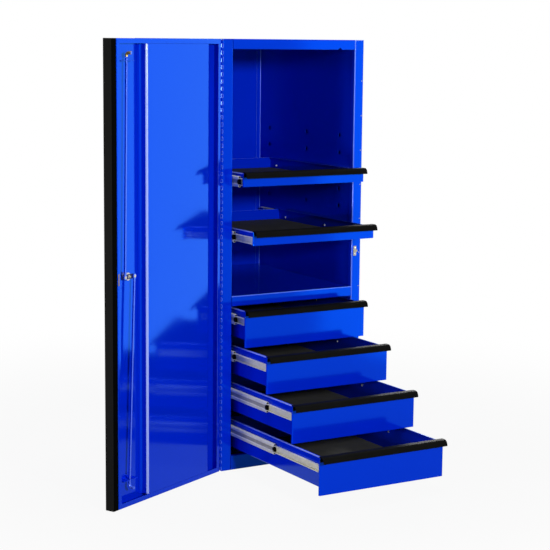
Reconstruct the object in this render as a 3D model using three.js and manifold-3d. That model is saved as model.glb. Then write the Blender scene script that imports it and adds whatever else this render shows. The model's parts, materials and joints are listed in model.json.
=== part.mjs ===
// Tool chest side locker: a tall double-walled steel cabinet with a side-hinged door,
// two sliding trays in its upper bay and four drawers below them.
// Millimetres, +Z up, the front faces -Y, and the origin is the centre of the base.
// The door is swung wide open, and the trays and drawers are drawn out in steps.

import * as THREE from "three";
import { mergeVertices } from "three/addons/utils/BufferGeometryUtils.js";
import Module from "manifold-3d";

// Cabinet shell
const cabinetWidth = 482.6;
const cabinetDepth = 580;
const cabinetHeight = 1270;
const backInset = 17; // the back panel stands this far inside the rear edge
const sheet = 1.2;
const bendRadius = 1.6; // inside radius of a bend
const seat = 0.3; // gap left between pieces that lie on each other
const stileWidth = 32.2;
const stileReturn = 18;
const rearFlange = 25;
const topRailHeight = 29.8;
const middleRailHeight = 31;
const bottomRailHeight = 44.2;
const railReturn = 12;
const linerFlange = 15;
const railNotchRadius = 6.2; // half-round notch in the top rail's lower edge
const railNotchFromStile = 53; // from the right stile

// Drawers and trays
const drawerCount = 4;
const drawerFrontHeight = 109;
const drawerBoxLift = 19; // the box hangs this far above the lower edge of its front
const drawerSlideLift = 74.5; // slide centre above the lower edge of the front
const trayFrontHeight = 42;
const trayBoxLift = 1.5;
const traySlideLift = 13;
const upperTrayLift = 325.5; // lower edge of the tray's front above the upper bay's floor
const lowerTrayLift = 162;
const wallBelowPull = 4.5; // side walls stop this far under the pull's top
const hemWidth = 6;
const frontGap = 3.3; // between one drawer front and the next
const frontSideGap = 2;
const frontReturn = 6;
const frontRecess = 22; // a closed front stands this far behind the front plane
const boxBackGap = 8;
const matThickness = 2;
const matGap = 2;

// Edge pulls of the fronts
const pullProjection = 20;
const pullHeight = 17;
const pullWall = 2.2;
const pullTopDepth = 7; // flat part of the top, ahead of the front
const pullBackDrop = 15;

// Three-member ball slides
const slideHeight = 36;
const slideThickness = 12.7;
const slideSheet = 1.2;
const slideBend = 0.6;
const slideSetback = 8; // drawer member behind the face of its front
const slideBackGap = 25;
const middleInset = 2.5; // middle member inside the cabinet member, above and below
const middleLip = 3;
const drawerMemberHeight = 20;
const ribHeight = 13;
const ribDepth = 1.5;
const notchRadius = 8;
const runningGap = 0.4; // stile to middle member
const memberGap = 0.5; // drawer member to middle member
const edgeGap = 2; // box to cabinet member
const middleStroke = 276;
const drawerStroke = 234;

// How far each one is drawn out of the cabinet, and how far its middle members came along
const upperTrayOut = 83.6;
const upperTrayMiddle = 64;
const lowerTrayOut = 142.2;
const lowerTrayMiddle = 35;
const drawerOut = [99.3, 224.9, 366, middleStroke + drawerStroke];
const drawerMiddle = [48, 40, 233, middleStroke];

// Slots in the inner walls
const slotRows = [66, 119]; // above a tray's slide
const slotColumns = [80, 270, 500]; // behind the front plane
const slotWidth = 13;
const slotHeight = 11;

// Door
const doorOpenAngle = 153.9;
const doorThickness = 25.4;
const doorGap = 3; // door to cabinet front when shut
const doorFloorGap = 2;
const doorTopGap = 1;
const doorShort = 7; // the door sheet stops this far inside the cabinet's right edge
const doorLip = 13.5;
const doorPullWidth = 20.5;
const doorPullLip = 5;
const doorPullProud = 2.4; // pull past the door's outer face
const innerPanelFrom = 60; // from the hinge axis
const innerPanelFromEdge = 129; // from the edge of the door sheet
const innerPanelFoot = 12;
const innerPanelBend = 6; // inside radius

// Continuous hinge
const hingeOffset = 3.4; // axis outside the cabinet's left face
const hingeSetback = 1.5; // axis ahead of the front plane
const knuckleCount = 24;
const knuckleRadius = 3;
const knuckleGap = 0.4;
const pinRadius = 1.5;
const pinPlay = 0.25;
const leafThickness = 1.2;
const leafWidth = 22;
const hingeEndGap = 4;

// Lock and locking rods
const lockHeight = 635;
const lockFromEdge = 59; // lock axis from the edge of the door sheet
const caseRadius = 11;
const caseFlange = 14;
const caseFlangeDepth = 2.5;
const plugRadius = 6;
const plugPlay = 0.4;
const keySlotWidth = 1.6;
const keySlotLength = 8;
const keySlotDepth = 6;
const camThickness = 2.5;
const camWidth = 13;
const camArm = 20; // lock axis to each rod's stud
const camDepth = 7.5; // cam behind the door's inner face
const studRadius = 2.5;
const studPlay = 0.4;
const studHead = 4;
const studHeadThickness = 1.2;
const eyeRadius = 6;
const eyeThickness = 3.4;
const tangLength = 14;
const rodRadius = 3.2;
const upperRodLean = -10; // far end from the stud, away from the hinge
const lowerRodLean = 25;
const hookReach = 11; // hook past the door's inner face
const hookBend = 7;
const hookClearance = 6; // hook to the rail's edge while unlocked
const guideFromHook = 21;
const guideWidth = 62;
const guideSlot = 21;
const guidePlay = 0.6;
const guideBridge = 1.5;
const guideSheet = 1.5;
const guideFoot = 12;

// Door catch
const catchWidth = 10;
const catchHeight = 30;
const catchThickness = 1.6;
const catchFromEdge = 21.5; // catch centre from the cabinet's right edge
const catchBelowLock = 2;
const catchBossRadius = 4.2;
const catchBossSpacing = 18;
const catchBossHeight = 0.8;
const catchTongue = 4; // tongue past the catch's right side
const catchTongueHeight = 7;
const keeperThickness = 0.6;
const keeperWidth = 5;
const keeperHeight = 32;
const keeperFromEdge = 5.6; // keeper centre from the edge of the door sheet

// Facets
const bendSteps = 2;
const roundSides = 12;
const hingeSides = 8;
const noseSteps = 5;
const hookSteps = 9;

// Places worked out from the sizes above
const halfWidth = cabinetWidth / 2;
const innerDepth = cabinetDepth - backInset;
const openingHalf = halfWidth - stileWidth;
const linerFace = openingHalf + sheet + seat;
const linerBack = innerDepth - seat - sheet;
const wallSpan = [sheet + seat, cabinetHeight - sheet - seat];
const shelfTop = bottomRailHeight + drawerCount * (drawerFrontHeight + frontGap) + middleRailHeight;
const frontHalf = openingHalf - frontSideGap;
const boxHalf = linerFace - slideThickness;
const boxFront = frontReturn + seat;
const boxBack = innerDepth - frontRecess - boxBackGap;
const slideFront = frontRecess + slideSetback;
const slideLength = innerDepth - slideFront - slideBackGap;
const middleFace = openingHalf - runningGap;
const middleHalf = slideHeight / 2 - middleInset;
const doorFrom = hingeOffset;
const doorTo = hingeOffset + cabinetWidth - doorShort;
const innerPanelTo = doorTo - innerPanelFromEdge;
const lockFromHinge = doorTo - lockFromEdge;
const doorInner = doorGap - hingeSetback;
const doorOuter = doorInner + doorThickness;
const doorSpan = [doorFloorGap, cabinetHeight - doorTopGap];
const camFace = doorInner + camDepth;
const eyeDepth = [camFace - seat - eyeThickness, camFace - seat];
const rodDepth = (eyeDepth[0] + eyeDepth[1]) / 2;
const caseStart = camFace + camThickness + seat;

const wasm = await Module();
wasm.setup();

const paint = { color: 0x0a4be0, roughness: 0.28, metalness: 0.1 };
const blackTrim = { color: 0x161616, roughness: 0.45, metalness: 0.3 };
const zinc = { color: 0xb9bbb6, roughness: 0.35, metalness: 0.9 };
const rubber = { color: 0x1b1c1a, roughness: 0.9, metalness: 0 };

function piece(parent, name, geometry, finish) {
  const mesh = new THREE.Mesh(geometry, new THREE.MeshStandardMaterial(finish));
  mesh.name = name;
  parent.add(mesh);
}

function place(parent, x, y, z) {
  const group = new THREE.Group();
  group.position.set(x, y, z);
  parent.add(group);
  return group;
}

// Closed geometry to a solid that can be joined and cut, and back

function solidOf(geometry) {
  const bare = geometry.clone();
  bare.deleteAttribute("normal");
  bare.deleteAttribute("uv");
  const merged = mergeVertices(bare, 1e-4);
  const vertProperties = merged.attributes.position.array;
  const triVerts = new Uint32Array(merged.index.array);
  return new wasm.Manifold(new wasm.Mesh({ numProp: 3, vertProperties, triVerts }));
}

function geometryOf(solid) {
  const { vertProperties, triVerts } = solid.getMesh();
  const geometry = new THREE.BufferGeometry();
  geometry.setAttribute("position", new THREE.BufferAttribute(vertProperties, 3));
  geometry.setIndex(new THREE.BufferAttribute(triVerts, 1));
  const flat = geometry.toNonIndexed();
  flat.computeVertexNormals();
  return flat;
}

function join(...geometries) {
  return geometryOf(geometries.map(solidOf).reduce((whole, part) => whole.add(part)));
}

function cut(geometry, ...tools) {
  const start = solidOf(geometry);
  return geometryOf(tools.map(solidOf).reduce((whole, tool) => whole.subtract(tool), start));
}

// Basic shapes

function block([x0, x1], [y0, y1], [z0, z1]) {
  const geometry = new THREE.BoxGeometry(x1 - x0, y1 - y0, z1 - z0);
  return geometry.translate((x0 + x1) / 2, (y0 + y1) / 2, (z0 + z1) / 2);
}

function extrude(shape, depth) {
  return new THREE.ExtrudeGeometry(shape, { depth, bevelEnabled: false, steps: 1 });
}

// A plan outline (x, y) raised along Z
function raised(shape, [z0, z1]) {
  return extrude(shape, z1 - z0).translate(0, 0, z0);
}

// A side outline (y, z) drawn across X
function across(shape, [x0, x1]) {
  const turn = new THREE.Matrix4().set(0, 0, 1, x0, 1, 0, 0, 0, 0, 1, 0, 0, 0, 0, 0, 1);
  return extrude(shape, x1 - x0).applyMatrix4(turn);
}

// A front outline (x, z) drawn back along Y
function drawnBack(shape, [y0, y1]) {
  const turn = new THREE.Matrix4().set(1, 0, 0, 0, 0, 0, -1, y1, 0, 1, 0, 0, 0, 0, 0, 1);
  return extrude(shape, y1 - y0).applyMatrix4(turn);
}

function circle(radius, [x, y] = [0, 0], sides = roundSides) {
  const points = [];
  for (let i = 0; i < sides; i++) {
    const angle = ((i + 0.5) * 2 * Math.PI) / sides;
    points.push(new THREE.Vector2(x + radius * Math.cos(angle), y + radius * Math.sin(angle)));
  }
  return new THREE.Shape(points);
}

function ring(outer, inner, centre, sides) {
  const shape = circle(outer, centre, sides);
  shape.holes.push(circle(inner, centre, sides));
  return shape;
}

// Section of a bent sheet. The path follows one face, and the metal lies
// on the left of the path (side 1) or on its right (side -1).
function bentSheet(path, side, thickness = sheet, radius = bendRadius, steps = bendSteps) {
  const face = path.map(([x, y]) => new THREE.Vector2(x, y));
  const heading = face.slice(1).map((end, i) => end.clone().sub(face[i]).normalize());
  const leftOf = (way) => new THREE.Vector2(-way.y, way.x);
  const near = [];
  const far = [];
  face.forEach((corner, i) => {
    if (i === 0 || i === face.length - 1) {
      const normal = leftOf(heading[Math.min(i, heading.length - 1)]);
      near.push(corner);
      far.push(corner.clone().addScaledVector(normal, side * thickness));
      return;
    }
    const turn = Math.sign(heading[i - 1].cross(heading[i]));
    const before = leftOf(heading[i - 1]).multiplyScalar(turn);
    const after = leftOf(heading[i]).multiplyScalar(turn);
    const faceRadius = turn === side ? radius + thickness : radius;
    const farRadius = turn === side ? radius : radius + thickness;
    const reach = faceRadius / (1 + before.dot(after));
    const centre = corner.clone().addScaledVector(before.clone().add(after), reach);
    for (let k = 0; k <= steps; k++) {
      const normal = before.clone().lerp(after, k / steps).normalize();
      near.push(centre.clone().addScaledVector(normal, -faceRadius));
      far.push(centre.clone().addScaledVector(normal, -farRadius));
    }
  });
  return new THREE.Shape([...near, ...far.reverse()]);
}

// A round bar from one point to another
function bar(from, to, radius) {
  const along = to.clone().sub(from);
  const geometry = new THREE.CylinderGeometry(radius, radius, along.length(), hingeSides);
  const turn = new THREE.Quaternion().setFromUnitVectors(new THREE.Vector3(0, 1, 0), along.normalize());
  const middle = from.clone().add(to).multiplyScalar(0.5);
  return geometry.applyQuaternion(turn).translate(middle.x, middle.y, middle.z);
}

// Cabinet shell: side is -1 for the left and 1 for the right

function mirrored(path, side) {
  return path.map(([x, y]) => [side * x, y]);
}

function sideShell(side) {
  const path = [
    [openingHalf, stileReturn],
    [openingHalf, 0],
    [halfWidth, 0],
    [halfWidth, cabinetDepth],
    [halfWidth - rearFlange, cabinetDepth],
  ];
  return raised(bentSheet(mirrored(path, side), side), wallSpan);
}

function railedPan(railEdge, panLevel, back, flange) {
  const inwards = Math.sign(railEdge - panLevel);
  const path = [
    [railReturn, railEdge],
    [0, railEdge],
    [0, panLevel],
    [back, panLevel],
    [back, panLevel + inwards * flange],
  ];
  const width = openingHalf - seat;
  return across(bentSheet(path, inwards), [-width, width]);
}

function topPan() {
  const pan = railedPan(cabinetHeight - topRailHeight, cabinetHeight, cabinetDepth, rearFlange);
  const level = [cabinetHeight - sheet, cabinetHeight];
  const notchAt = [openingHalf - railNotchFromStile, cabinetHeight - topRailHeight];
  const notch = drawnBack(circle(railNotchRadius, notchAt), [-sheet, railReturn + sheet]);
  return cut(join(pan, block([-halfWidth, halfWidth], [sheet, cabinetDepth], level)), notch);
}

function bottomPan() {
  const pan = railedPan(bottomRailHeight, 0, cabinetDepth, rearFlange);
  return join(pan, block([-halfWidth, halfWidth], [sheet, cabinetDepth], [0, sheet]));
}

function dividerShelf() {
  return railedPan(shelfTop - middleRailHeight, shelfTop, linerBack - seat, railReturn);
}

function backPanel() {
  const edge = halfWidth - sheet - seat;
  return block([-edge, edge], [innerDepth, innerDepth + sheet], wallSpan);
}

// Slides: a cabinet member, a middle member and a drawer member nest in each other

function cabinetMember(side, height) {
  const half = slideHeight / 2;
  const web = linerFace + slideSheet / 2;
  const tip = boxHalf + edgeGap;
  const path = [
    [tip, height - half],
    [web, height - half],
    [web, height + half],
    [tip, height + half],
  ];
  const section = bentSheet(mirrored(path, side), side, 1.5 * slideSheet, slideBend, 1);
  return drawnBack(section, [slideFront, slideFront + slideLength]);
}

function middleMember(side, height, out) {
  const tip = boxHalf + edgeGap + memberGap;
  const low = height - middleHalf;
  const high = height + middleHalf;
  const rib = middleFace - ribDepth;
  const path = [
    [tip, low + middleLip],
    [tip, low],
    [middleFace, low],
    [middleFace, height - ribHeight / 2],
    [rib, height - ribHeight / 2 + ribDepth],
    [rib, height + ribHeight / 2 - ribDepth],
    [middleFace, height + ribHeight / 2],
    [middleFace, high],
    [tip, high],
    [tip, high - middleLip],
  ];
  const section = bentSheet(mirrored(path, side), side, slideSheet, slideBend, 1);
  const front = slideFront - out;
  const member = drawnBack(section, [front, front + slideLength]);
  const reach = [side * tip, side * (middleFace + slideSheet)].sort((a, b) => a - b);
  return cut(member, across(circle(notchRadius, [front, height]), reach));
}

function drawerMember(side, height) {
  const half = drawerMemberHeight / 2;
  const web = boxHalf - slideSheet / 2;
  const tip = middleFace - slideSheet - memberGap;
  const path = [
    [tip, height - half],
    [web, height - half],
    [web, height + half],
    [tip, height + half],
  ];
  const section = bentSheet(mirrored(path, side), -side, 1.5 * slideSheet, slideBend, 1);
  return drawnBack(section, [slideSetback, slideSetback + slideLength]);
}

// Inner wall with its slots and the cabinet members of every slide

function liner(side, slideLevels, trayLevels) {
  const path = [
    [linerFace, sheet + bendRadius + seat],
    [linerFace, linerBack],
    [linerFace - linerFlange, linerBack],
  ];
  const wall = raised(bentSheet(mirrored(path, side), -side), wallSpan);
  const reach = [side * (linerFace - sheet), side * (linerFace + 2 * sheet)].sort((a, b) => a - b);
  const slots = trayLevels.flatMap((level) =>
    slotRows.flatMap((row) =>
      slotColumns.map((column) =>
        block(
          reach,
          [column - slotWidth / 2, column + slotWidth / 2],
          [level + row - slotHeight / 2, level + row + slotHeight / 2],
        ),
      ),
    ),
  );
  return join(cut(wall, ...slots), ...slideLevels.map((level) => cabinetMember(side, level)));
}

// Drawers and trays: the local origin is the lower edge of the front's face

function drawerBox(size) {
  const top = size.frontHeight - wallBelowPull;
  const path = [
    [-boxHalf + hemWidth, top],
    [-boxHalf, top],
    [-boxHalf, size.boxLift],
    [boxHalf, size.boxLift],
    [boxHalf, top],
    [boxHalf - hemWidth, top],
  ];
  const inset = 0.75 * sheet;
  const width = [-boxHalf + inset, boxHalf - inset];
  const height = [size.boxLift + inset, top - inset];
  return join(
    drawnBack(bentSheet(path, 1), [boxFront, boxBack]),
    block(width, [boxFront, boxFront + sheet], height),
    block(width, [boxBack - sheet, boxBack], height),
    drawerMember(-1, size.slideLift),
    drawerMember(1, size.slideLift),
  );
}

function drawerFront(size) {
  const top = size.frontHeight - pullWall - seat;
  const path = [
    [-frontHalf, frontReturn],
    [-frontHalf, 0],
    [frontHalf, 0],
    [frontHalf, frontReturn],
  ];
  const inset = 0.75 * sheet;
  const width = [-frontHalf + inset, frontHalf - inset];
  const depth = [inset, frontReturn];
  return join(
    raised(bentSheet(path, 1), [0, top]),
    block(width, depth, [0, sheet]),
    block(width, depth, [top - sheet, top]),
  );
}

function edgePull(size) {
  const top = size.frontHeight;
  const nose = (inset) => {
    const points = [];
    for (let k = 0; k <= noseSteps; k++) {
      const angle = (Math.PI / 2) * (k / noseSteps);
      const ahead = pullTopDepth + (pullProjection - pullTopDepth - inset) * Math.sin(angle);
      points.push([-ahead, top - pullHeight + (pullHeight - inset) * Math.cos(angle)]);
    }
    return points;
  };
  const outline = [
    [frontReturn, top - pullWall],
    [frontReturn, top],
    ...nose(0),
    ...nose(pullWall).reverse(),
    [-seat - pullWall, top - pullWall],
    [-seat - pullWall, top - pullBackDrop],
    [-seat, top - pullBackDrop],
    [-seat, top - pullWall],
  ];
  const shape = new THREE.Shape(outline.map(([y, z]) => new THREE.Vector2(y, z)));
  return across(shape, [-frontHalf, frontHalf]);
}

function linerMat(size) {
  const edge = boxHalf - sheet - matGap;
  const floor = size.boxLift + sheet + seat;
  const depth = [boxFront + sheet + matGap, boxBack - sheet - matGap];
  return block([-edge, edge], depth, [floor, floor + matThickness]);
}

function slidingUnit(cabinet, unit) {
  const { name, size, level, out, middle } = unit;
  const slideLevel = level + size.slideLift;
  piece(cabinet, `${name}_slide_left`, middleMember(-1, slideLevel, middle), zinc);
  piece(cabinet, `${name}_slide_right`, middleMember(1, slideLevel, middle), zinc);
  const group = place(cabinet, 0, frontRecess - out, level);
  piece(group, `${name}_box`, drawerBox(size), paint);
  piece(group, `${name}_front`, drawerFront(size), paint);
  piece(group, `${name}_pull`, edgePull(size), blackTrim);
  piece(group, `${name}_mat`, linerMat(size), rubber);
}

// Continuous hinge, around an axis at x = y = 0; the leaf lies along +Y or -Y

const knuckleLength = (cabinetHeight - 2 * hingeEndGap) / knuckleCount;

const leafPlate = [hingeOffset - seat - leafThickness, hingeOffset - seat];

// A knuckle rolled from the leaf: round about the pin, with a tab that runs into the plate
function knuckle(way) {
  const step = (2 * Math.PI) / hingeSides;
  const points = [];
  for (let i = 1; i < hingeSides; i++) {
    const angle = (i + 0.5) * step;
    points.push([knuckleRadius * Math.cos(angle), knuckleRadius * Math.sin(angle)]);
  }
  const tabEnd = knuckleRadius + 2 * seat;
  const shoulder = knuckleRadius * (Math.cos(step / 2) + Math.sin(step / 2)) - leafPlate[0];
  points.push([leafPlate[1], -knuckleRadius * Math.sin(step / 2)]);
  points.push([leafPlate[1], tabEnd]);
  points.push([leafPlate[0], tabEnd]);
  points.push([leafPlate[0], shoulder]);
  const shape = new THREE.Shape(points.map(([x, y]) => new THREE.Vector2(x, way * y)));
  shape.holes.push(circle(pinRadius + pinPlay, [0, 0], hingeSides));
  return shape;
}

function hingeLeaf(way, first) {
  const reach = [way * (knuckleRadius + seat), way * leafWidth].sort((a, b) => a - b);
  const parts = [block(leafPlate, reach, [hingeEndGap, cabinetHeight - hingeEndGap])];
  for (let i = first; i < knuckleCount; i += 2) {
    const from = hingeEndGap + i * knuckleLength + knuckleGap / 2;
    parts.push(raised(knuckle(way), [from, from + knuckleLength - knuckleGap]));
  }
  return join(...parts);
}

function hingePin() {
  return raised(circle(pinRadius, [0, 0], hingeSides), [hingeEndGap, cabinetHeight - hingeEndGap]);
}

// Door: the local origin is the hinge axis, X runs along the door, and -Y is its outer face

function doorPan() {
  const [bottom, top] = doorSpan;
  const radius = bendRadius + sheet;
  const corner = [
    [doorFrom + radius, -doorOuter + radius, Math.PI],
    [doorTo - radius, -doorOuter + radius, 1.5 * Math.PI],
    [doorTo - radius, -doorInner - radius, 0],
    [doorFrom + radius, -doorInner - radius, 0.5 * Math.PI],
  ];
  const outline = corner.flatMap(([x, y, start]) => {
    const points = [];
    for (let k = 0; k <= bendSteps; k++) {
      const angle = start + (Math.PI / 2) * (k / bendSteps);
      points.push(new THREE.Vector2(x + radius * Math.cos(angle), y + radius * Math.sin(angle)));
    }
    return points;
  });
  const hollow = block(
    [doorFrom + sheet, doorTo - sheet],
    [-doorOuter + sheet, -doorInner - sheet],
    [bottom + sheet, top - sheet],
  );
  const opening = block(
    [doorFrom + doorLip, doorTo - doorLip],
    [-doorOuter + 2 * sheet, 0],
    [bottom + doorLip, top - doorLip],
  );
  const lockHole = drawnBack(circle(caseRadius + seat, [lockFromHinge, lockHeight]), [
    -doorOuter - sheet,
    -doorOuter + 2 * sheet,
  ]);
  return cut(raised(new THREE.Shape(outline), doorSpan), hollow, opening, lockHole);
}

function doorInnerPanel() {
  const back = -doorOuter + 2 * sheet + seat;
  const path = [
    [innerPanelFrom - innerPanelFoot, back],
    [innerPanelFrom, back],
    [innerPanelFrom, -doorInner],
    [innerPanelTo, -doorInner],
    [innerPanelTo, back],
    [innerPanelTo + innerPanelFoot, back],
  ];
  const inset = doorLip + seat;
  const section = bentSheet(path, -1, sheet, innerPanelBend, noseSteps);
  return raised(section, [doorSpan[0] + inset, doorSpan[1] - inset]);
}

function doorPull() {
  const from = doorTo + seat;
  const to = from + doorPullWidth;
  const front = -doorOuter - doorPullProud;
  const inner = -doorInner - pullWall;
  const outline = [
    [from, -doorOuter],
    [from, -doorInner],
    [to, -doorInner],
    [to, front],
    [to - doorPullLip, front],
    [to - doorPullLip, front + pullWall],
    [to - pullWall, front + pullWall],
    [to - pullWall, inner],
    [from + pullWall, inner],
    [from + pullWall, -doorOuter],
  ];
  return raised(new THREE.Shape(outline.map(([x, y]) => new THREE.Vector2(x, y))), doorSpan);
}

function catchKeeper() {
  const middle = doorTo - keeperFromEdge;
  const level = lockHeight - catchBelowLock;
  return block(
    [middle - keeperWidth / 2, middle + keeperWidth / 2],
    [-doorInner + seat, -doorInner + seat + keeperThickness],
    [level - keeperHeight / 2, level + keeperHeight / 2],
  );
}

// A plate with two round bosses, and a tongue that meets the keeper
function doorCatch() {
  const middle = halfWidth - catchFromEdge;
  const level = lockHeight - catchBelowLock;
  const edge = middle + catchWidth / 2;
  const depth = [-seat - catchThickness, -seat];
  const bosses = [-1, 1].map((way) => {
    const centre = [middle, level + (way * catchBossSpacing) / 2];
    return drawnBack(circle(catchBossRadius, centre), [depth[0] - catchBossHeight, depth[1]]);
  });
  const heightOf = (height) => [level - height / 2, level + height / 2];
  return join(
    block([middle - catchWidth / 2, edge], depth, heightOf(catchHeight)),
    block([middle, edge + catchTongue], depth, heightOf(catchTongueHeight)),
    ...bosses,
  );
}

// Lock: depths run from the hinge axis towards the door's outer face

function throughDoor(shape, [inner, outer]) {
  return drawnBack(shape, [-outer, -inner]);
}

function lockCase() {
  const centre = [lockFromHinge, lockHeight];
  const bore = plugRadius + plugPlay;
  const face = doorOuter + seat;
  return join(
    throughDoor(ring(caseRadius, bore, centre), [caseStart, face + caseFlangeDepth]),
    throughDoor(ring(caseFlange, bore, centre), [face, face + caseFlangeDepth]),
  );
}

function lockCam() {
  const end = doorOuter + seat + caseFlangeDepth;
  const arm = [lockFromHinge - camArm, lockFromHinge + camArm];
  const depth = [camFace, camFace + camThickness];
  const headStart = eyeDepth[0] - seat - studHeadThickness;
  const studs = arm.flatMap((x) => [
    throughDoor(circle(camWidth / 2, [x, lockHeight]), depth),
    throughDoor(circle(studRadius, [x, lockHeight]), [headStart, camFace + camThickness / 2]),
    throughDoor(circle(studHead, [x, lockHeight]), [headStart, eyeDepth[0] - seat]),
  ]);
  const plate = block(arm, [-depth[1], -depth[0]], [lockHeight - camWidth / 2, lockHeight + camWidth / 2]);
  const plug = throughDoor(circle(plugRadius, [lockFromHinge, lockHeight]), [camFace, end]);
  const key = block(
    [lockFromHinge - keySlotWidth / 2, lockFromHinge + keySlotWidth / 2],
    [-end - seat, -end + keySlotDepth],
    [lockHeight - keySlotLength / 2, lockHeight + keySlotLength / 2],
  );
  return cut(join(plate, plug, ...studs), key);
}

// Locking rods: an eye on the cam's stud, a long round bar and a hook turned to the cabinet

const upperHook = cabinetHeight - topRailHeight - hookClearance - rodRadius;
const lowerHook = bottomRailHeight + hookClearance + rodRadius;
const upperStud = lockFromHinge + camArm;
const lowerStud = lockFromHinge - camArm;

function lockingRod(stud, lean, hookLevel) {
  const start = new THREE.Vector3(stud, -rodDepth, lockHeight);
  const corner = new THREE.Vector3(stud + lean, -rodDepth, hookLevel);
  const along = corner.clone().sub(start).normalize();
  const aside = new THREE.Vector2(along.z, -along.x).multiplyScalar(rodRadius);
  const onRod = (distance) => start.clone().addScaledVector(along, distance);
  const tangEnd = onRod(tangLength);
  const tang = new THREE.Shape([
    new THREE.Vector2(start.x + aside.x, start.z + aside.y),
    new THREE.Vector2(tangEnd.x + aside.x, tangEnd.z + aside.y),
    new THREE.Vector2(tangEnd.x - aside.x, tangEnd.z - aside.y),
    new THREE.Vector2(start.x - aside.x, start.z - aside.y),
  ]);
  const bendFrom = corner.clone().addScaledVector(along, -hookBend);
  const bendTo = corner.clone().setY(-rodDepth + hookBend);
  const path = new THREE.CurvePath();
  path.add(new THREE.QuadraticBezierCurve3(bendFrom, corner, bendTo));
  path.add(new THREE.LineCurve3(bendTo, corner.clone().setY(-doorInner + hookReach)));
  const section = circle(rodRadius, [0, 0], hingeSides);
  const hook = new THREE.ExtrudeGeometry(section, { steps: hookSteps, extrudePath: path });
  const barEnd = corner.clone().addScaledVector(along, rodRadius / 2 - hookBend);
  const whole = join(
    throughDoor(circle(eyeRadius, [stud, lockHeight]), eyeDepth),
    throughDoor(tang, eyeDepth),
    bar(onRod(camWidth / 2 + 2), barEnd, rodRadius),
    hook,
  );
  const bore = throughDoor(circle(studRadius + studPlay, [stud, lockHeight]), [0, doorOuter]);
  return cut(whole, bore);
}

function rodGuide(stud, lean, hookLevel) {
  const way = Math.sign(hookLevel - lockHeight);
  const level = hookLevel - way * guideFromHook;
  const middle = stud + lean * ((level - lockHeight) / (hookLevel - lockHeight));
  const slotReach = rodRadius + guidePlay;
  const outer = doorOuter - sheet - seat;
  const width = [middle - guideWidth / 2, middle + guideWidth / 2];
  const plate = block(
    width,
    [-outer, -rodDepth + slotReach + guideBridge],
    [level - guideSheet / 2, level + guideSheet / 2],
  );
  const foot = block(width, [-outer, -outer + guideSheet], [level, level + guideFoot]);
  const slot = block(
    [middle - guideSlot / 2, middle + guideSlot / 2],
    [-rodDepth - slotReach, -rodDepth + slotReach],
    [level - guideSheet, level + guideSheet],
  );
  return cut(join(plate, foot), slot);
}

// Assembly

const locker = new THREE.Group();
locker.name = "side_locker";
const cabinet = place(locker, 0, -cabinetDepth / 2, 0);

const drawerSize = {
  frontHeight: drawerFrontHeight,
  boxLift: drawerBoxLift,
  slideLift: drawerSlideLift,
};
const traySize = {
  frontHeight: trayFrontHeight,
  boxLift: trayBoxLift,
  slideLift: traySlideLift,
};
const upperTray = {
  name: "upper_tray",
  size: traySize,
  level: shelfTop + upperTrayLift,
  out: upperTrayOut,
  middle: upperTrayMiddle,
};
const lowerTray = {
  name: "lower_tray",
  size: traySize,
  level: shelfTop + lowerTrayLift,
  out: lowerTrayOut,
  middle: lowerTrayMiddle,
};
const drawers = drawerOut.map((out, i) => ({
  name: `drawer_${i + 1}`,
  size: drawerSize,
  level: bottomRailHeight + frontGap / 2 + (drawerCount - 1 - i) * (drawerFrontHeight + frontGap),
  out,
  middle: drawerMiddle[i],
}));
const units = [upperTray, lowerTray, ...drawers];
const slideLevels = units.map((unit) => unit.level + unit.size.slideLift);
const trayLevels = slideLevels.slice(0, 2);

piece(cabinet, "left_side_shell", sideShell(-1), paint);
piece(cabinet, "right_side_shell", sideShell(1), paint);
piece(cabinet, "top_pan", topPan(), paint);
piece(cabinet, "bottom_pan", bottomPan(), paint);
piece(cabinet, "divider_shelf", dividerShelf(), paint);
piece(cabinet, "back_panel", backPanel(), paint);
piece(cabinet, "left_liner", liner(-1, slideLevels, trayLevels), paint);
piece(cabinet, "right_liner", liner(1, slideLevels, trayLevels), paint);
piece(cabinet, "door_catch", doorCatch(), zinc);
units.forEach((unit) => slidingUnit(cabinet, unit));

const hinge = place(cabinet, -halfWidth - hingeOffset, -hingeSetback, 0);
piece(hinge, "hinge_leaf_cabinet", hingeLeaf(1, 0), paint);
piece(hinge, "hinge_pin", hingePin(), zinc);

const door = place(hinge, 0, 0, 0);
door.rotation.z = THREE.MathUtils.degToRad(-doorOpenAngle);
piece(door, "hinge_leaf_door", hingeLeaf(-1, 1), paint);
piece(door, "door_pan", doorPan(), paint);
piece(door, "door_inner_panel", doorInnerPanel(), paint);
piece(door, "door_pull", doorPull(), blackTrim);
piece(door, "catch_keeper", catchKeeper(), zinc);
piece(door, "lock_case", lockCase(), zinc);
piece(door, "lock_cam", lockCam(), zinc);
piece(door, "upper_rod", lockingRod(upperStud, upperRodLean, upperHook), paint);
piece(door, "lower_rod", lockingRod(lowerStud, lowerRodLean, lowerHook), paint);
piece(door, "upper_rod_guide", rodGuide(upperStud, upperRodLean, upperHook), paint);
piece(door, "lower_rod_guide", rodGuide(lowerStud, lowerRodLean, lowerHook), paint);

export default locker;
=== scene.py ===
import json
import math

import bmesh
import bpy
from mathutils import Matrix, Vector


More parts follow.
